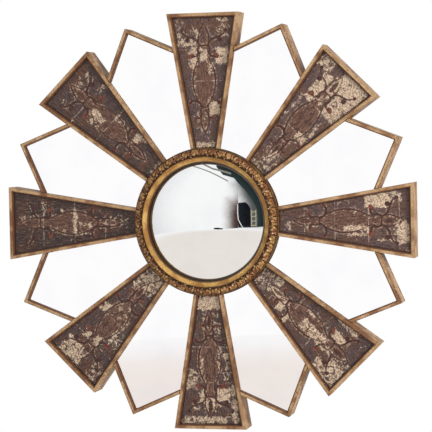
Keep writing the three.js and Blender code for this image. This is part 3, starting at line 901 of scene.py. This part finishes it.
# ---- The ring moulding --------------------------------------------------------------------------
# A turned wooden ring: a steep dark wall and a smooth gilt cove stand round the convex mirror, and
# the face slopes back from there, with a bed for the leaf band between two narrow fillets.
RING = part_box("ring_moulding")
RING_RADIUS = RING[1].x
RING_FACE = RING[0].y
RING_BASE = RING[1].y
RING_FALL = 9 * MM
SIGHT_RADIUS = 128.5 * MM
SIGHT_EDGE = 1 * MM
LIP_WIDTH = 2.5 * MM
LIP_RISE = 8 * MM
COVE_RADIUS = 139.5 * MM
COVE_LEAN = 3 * MM
BED_RADII = (140.4 * MM, 158.2 * MM)
BED_DEPTH = 3 * MM
OUTER_EASE = 1.4 * MM
SKIRT_RADIUS = 138.5 * MM
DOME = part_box("convex_mirror")
DOME_RADIUS = DOME[1].x
DOME_CURVE = 330 * MM
DOME_GLASS = 3 * MM
FIT = 0.3 * MM
SOFT_CORNER = 0.5 * MM
OUTER_DARKENING = 0.75
TURN_STEPS = 256


def dome_front(radius):
    """Where the convex mirror's front lies at a radius, as y."""
    return DOME[0].y + DOME_CURVE - math.sqrt(DOME_CURVE**2 - radius**2)


def dome_back(radius):
    return DOME[0].y + DOME_CURVE - math.sqrt((DOME_CURVE - DOME_GLASS) ** 2 - radius**2)


def ring_face(radius):
    return RING_FACE + RING_FALL * (radius - COVE_RADIUS) / (RING_RADIUS - COVE_RADIUS)


def hollow(start, end, bend, steps=14):
    """Points of (radius, y) on a hollow curve from start to end, pulled towards bend."""
    line = []
    for i in range(steps + 1):
        t = i / steps
        shares = ((1 - t) ** 2, 2 * t * (1 - t), t * t)
        line.append(tuple(sum(k * p[j] for k, p in zip(shares, (start, bend, end))) for j in (0, 1)))
    return line


def turned(profile, closed=True):
    """A form turned round the mirror's axis from a profile of (radius, y)."""
    form = bmesh.new()
    verts = [form.verts.new((radius, y, 0)) for radius, y in profile]
    edges = [form.edges.new(pair) for pair in zip(verts, verts[1:])]
    if closed:
        edges.append(form.edges.new((verts[-1], verts[0])))
    bmesh.ops.spin(
        form, geom=[*verts, *edges], cent=(0, 0, 0), axis=(0, 1, 0),
        angle=2 * math.pi, steps=TURN_STEPS, use_merge=True,
    )
    bmesh.ops.remove_doubles(form, verts=form.verts, dist=SAME_POINT / 2)
    bmesh.ops.recalc_face_normals(form, faces=form.faces)
    return form


def ring_profile():
    """Out over the front from the sight edge, and back along the base to the dome's rebate."""
    sight = dome_front(SIGHT_RADIUS) - FIT - SIGHT_EDGE
    rebate = dome_front(DOME_RADIUS) - FIT
    lip = sight - LIP_RISE
    lip_radius = SIGHT_RADIUS + LIP_WIDTH
    soft = SOFT_CORNER
    inner, outer = BED_RADII
    edge = RING_RADIUS - OUTER_EASE
    cove = hollow(
        (lip_radius + soft, lip), (COVE_RADIUS, RING_FACE + soft), (COVE_RADIUS - COVE_LEAN, lip)
    )
    return [
        (SIGHT_RADIUS, sight),
        (lip_radius - soft / 2, lip + soft),
        (lip_radius + soft / 2, lip),
        *cove,
        (COVE_RADIUS + soft / 2, RING_FACE + soft / 4),
        (COVE_RADIUS + soft, ring_face(COVE_RADIUS + soft)),
        (inner, ring_face(inner)),
        (inner, ring_face(inner) + BED_DEPTH),
        (outer, ring_face(outer) + BED_DEPTH),
        (outer, ring_face(outer)),
        (edge, ring_face(edge)),
        (RING_RADIUS - OUTER_EASE / 3, ring_face(edge) + OUTER_EASE / 3),
        (RING_RADIUS, ring_face(edge) + OUTER_EASE),
        (RING_RADIUS, RING_BASE),
        (SKIRT_RADIUS, RING_BASE),
        (SKIRT_RADIUS, rebate),
        (DOME_RADIUS, rebate),
        (SIGHT_RADIUS, sight + SIGHT_EDGE),
    ]


def ring_gilding():
    finish = Finish("ring gilding", "#B98A50", 0.5, 0.2)
    cloud = finish.mottle(30 * MM, 4)
    rub = finish.mottle(3 * MM, 5, bend=0.5)
    fine = finish.mottle(1.2 * MM, 3)
    laid = finish.blend(finish.step(cloud, 0.4, 0.65), "#A57740", "#D0A662")
    laid = finish.blend(finish.step(rub, 0.56, 0.7), laid, "#7D5029", 0.7)
    laid = finish.blend(finish.step(fine, 0.62, 0.72), laid, "#5E3D20", 0.5)
    # The depth mark paints the steep wall by the mirror near black as painted shade, and darkens the
    # ring outside the cove.
    finish.set(Base_Color=finish.blend(finish.attribute("depth"), laid, "#2C190E"))
    finish.set(Roughness=finish.reckon("MULTIPLY_ADD", rub, 0.3, 0.36), Specular_IOR_Level=0.25)
    add_relief(finish, (rub, 0.12 * MM), (fine, 0.05 * MM))
    return finish


def shade_ring(form):
    """Marks how dark the ring is painted: painted shade on the steep wall by the mirror, and a darker
    tone outside the cove.
    """
    depth = form.verts.layers.float.new("depth")
    for v in form.verts:
        radius = math.hypot(v.co.x, v.co.z)
        if radius > COVE_RADIUS + 0.8 * MM:
            v[depth] = OUTER_DARKENING
        else:
            past_wall = (radius - SIGHT_RADIUS - LIP_WIDTH) / MM
            v[depth] = min(1, max(0, 0.5 - past_wall))


ring_form = turned(ring_profile())
smooth_all(ring_form)
shade_ring(ring_form)
ring = piece(ring_form, "ring_turning", ring_gilding(), "gilt_ring", "ring_moulding")
hard_corners(ring, 35)

# ---- The leaf band ------------------------------------------------------------------------------
# A strip of pressed composition in the ring's bed: lobed leaves that fan out from the outer edge,
# with a curl and a berry between each two, gilded with a bronze tone. The crests are painted pale
# as a painted highlight, and the hollows dark, a wash that is also painted shade.
LEAF_COUNT = 48
BAND_RADII = (140.7 * MM, 157.9 * MM)
BAND_CREST = 5 * MM
BAND_EDGE = 0.4 * MM
BAND_ROWS = 34
LEAF_COLUMNS = 36

# The leaf pattern's own sizes, in millimetres. Places are given as the distance from the seam
# between two leaves, and the distance in from the outer edge.
BAND_WIDTH = 17.2
HALF_LEAF = 9.8
LEAF_LENGTH = 16.5
LOBE_ANGLE = 0.34
CURL_PLACE = (2.6, 10.5)
CURL_RADIUS = 1.9
CURL_WIDTH = 0.75
BERRY_PLACE = (0, 14.5)
BERRY_RADIUS = 1.7
SPRIG_WIDTH = 0.9
SPRIG_MIDDLE = 6
SPRIG_LENGTH = 4.5


def leaf_height(turn, across, wander):
    """How high the band stands, from 0 at its edges to 1 at its crest. The turn runs from -1 to 1
    over one leaf, and across from 0 at the inner edge to 1 at the outer."""
    u = HALF_LEAF * turn + 1.6 * wander[0]
    v = BAND_WIDTH * (1 - across) + 1.4 * wander[1]
    reach = math.hypot(u, v + 1.5)
    angle = math.atan2(u, v + 1.5) + 0.012 * reach
    lobe = abs(math.cos(math.pi * angle / LOBE_ANGLE / 2))
    length = LEAF_LENGTH * max(0.0, math.cos(0.82 * angle)) ** 0.7 * (0.8 + 0.24 * lobe**0.8)
    share = reach / max(length, 1)
    tip = math.exp(-(((share - 0.8) / 0.16) ** 2))
    leaf = max(0.0, 1 - share**5) * (0.28 + 0.4 * lobe**0.7 + 0.36 * tip)
    side = HALF_LEAF * (1 - abs(turn)) + wander[1]
    from_curl = math.hypot(side - CURL_PLACE[0], v - CURL_PLACE[1]) - CURL_RADIUS
    curl = 0.85 * math.exp(-((from_curl / CURL_WIDTH) ** 2))
    from_berry = math.hypot(side - BERRY_PLACE[0], v - BERRY_PLACE[1]) / BERRY_RADIUS
    berry = 0.9 * max(0.0, 1 - from_berry**2) ** 0.5
    sprig = 0.7 * math.exp(-((side / SPRIG_WIDTH) ** 2) - ((v - SPRIG_MIDDLE) / SPRIG_LENGTH) ** 2)
    ground = 0.3 if across < 0.12 else 0.06
    rim = min(1, max(0, across) / 0.04, max(0, 1 - across) / 0.05)
    return rim * max(leaf, curl, berry, sprig, ground)


def carve_band():
    """A grid bent round into the ring's bed, raised by the leaf pattern and closed behind."""
    form = bmesh.new()
    columns = LEAF_COUNT * LEAF_COLUMNS
    bmesh.ops.create_grid(form, x_segments=columns, y_segments=BAND_ROWS, size=1)
    height_mark = form.verts.layers.float.new("height")
    inner, outer = BAND_RADII
    for v in form.verts:
        angle = math.pi * v.co.x
        across = (v.co.y + 1) / 2
        leaf = angle * LEAF_COUNT / (2 * math.pi)
        turn = 2 * (leaf - math.floor(leaf + 0.5))
        spot = Vector((22 * math.cos(angle), 22 * math.sin(angle), 2.6 * across))
        wander = (noise.noise(spot), noise.noise(spot + Vector((7, 3, 1))))
        rough = noise.noise(2.7 * spot) * (1 if 0.05 < across < 0.95 else 0)
        height = leaf_height(turn, across, wander) * (0.9 + 0.35 * wander[0]) + 0.09 * rough
        radius = inner + (outer - inner) * across
        y = ring_face(radius) - BAND_EDGE - (BAND_CREST - BAND_EDGE) * max(0, min(1, height))
        v.co = (radius * math.sin(angle), y, radius * math.cos(angle))
        v[height_mark] = height
    bmesh.ops.remove_doubles(form, verts=form.verts, dist=SAME_POINT)
    rim = [e for e in form.edges if e.is_boundary]
    made = bmesh.ops.extrude_edge_only(form, edges=rim)["geom"]
    for v in made:
        if isinstance(v, bmesh.types.BMVert):
            v.co.y = ring_face(math.hypot(v.co.x, v.co.z)) + BED_DEPTH - FIT
    bmesh.ops.bridge_loops(form, edges=[e for e in form.edges if e.is_boundary])
    bmesh.ops.recalc_face_normals(form, faces=form.faces)
    smooth_all(form)
    return form


def leaf_gilding():
    finish = Finish("leaf gilding", "#9B7048", 0.45, 0.2)
    cloud = finish.mottle(14 * MM, 4)
    rub = finish.mottle(2.2 * MM, 5)
    height = finish.attribute("height")
    laid = finish.blend(finish.step(cloud, 0.42, 0.58), "#855330", "#AC8149")
    laid = finish.blend(finish.step(rub, 0.55, 0.68), laid, "#B08A72", 0.7)
    # Painted highlight: the highest crests are painted pale.
    laid = finish.blend(finish.step(height, 0.6, 0.9), laid, "#DCB891")
    # A dark wash in the low places, which also stands in as painted shade in the hollows.
    wash_and_shade = finish.reckon("ADD", height, finish.reckon("MULTIPLY_ADD", rub, 0.5, -0.25))
    laid = finish.blend(finish.step(wash_and_shade, 0.62, 0.24), laid, "#341E11", 0.94)
    finish.set(Base_Color=laid, Specular_IOR_Level=0.3)
    finish.set(Roughness=finish.reckon("MULTIPLY_ADD", rub, 0.3, 0.3))
    add_relief(finish, (rub, 0.2 * MM))
    return finish


piece(carve_band(), "leaf_carving", leaf_gilding(), "gilt_ring", "leaf_band")

# ---- The convex mirror --------------------------------------------------------------------------
# A domed, silvered glass: the ring's rebate holds its edge down on the packing ring, and it stands
# well proud of the ring.
DOME_STEPS = 40


def dome_form():
    radii = [DOME_RADIUS * i / DOME_STEPS for i in range(DOME_STEPS + 1)]
    face = [(radius, dome_front(radius)) for radius in radii]
    back = [(radius, dome_back(radius)) for radius in reversed(radii)]
    form = turned([*face, *back], closed=False)
    smooth_all(form)
    return form


convex_silver = silvering("convex silvering", "#F7F8F8", "#F2F3F4")
convex = piece(dome_form(), "convex_glass", convex_silver, "convex_mirror", "convex_mirror")
hard_corners(convex, 35)

# ---- The end ------------------------------------------------------------------------------------
bpy.context.view_layer.update()
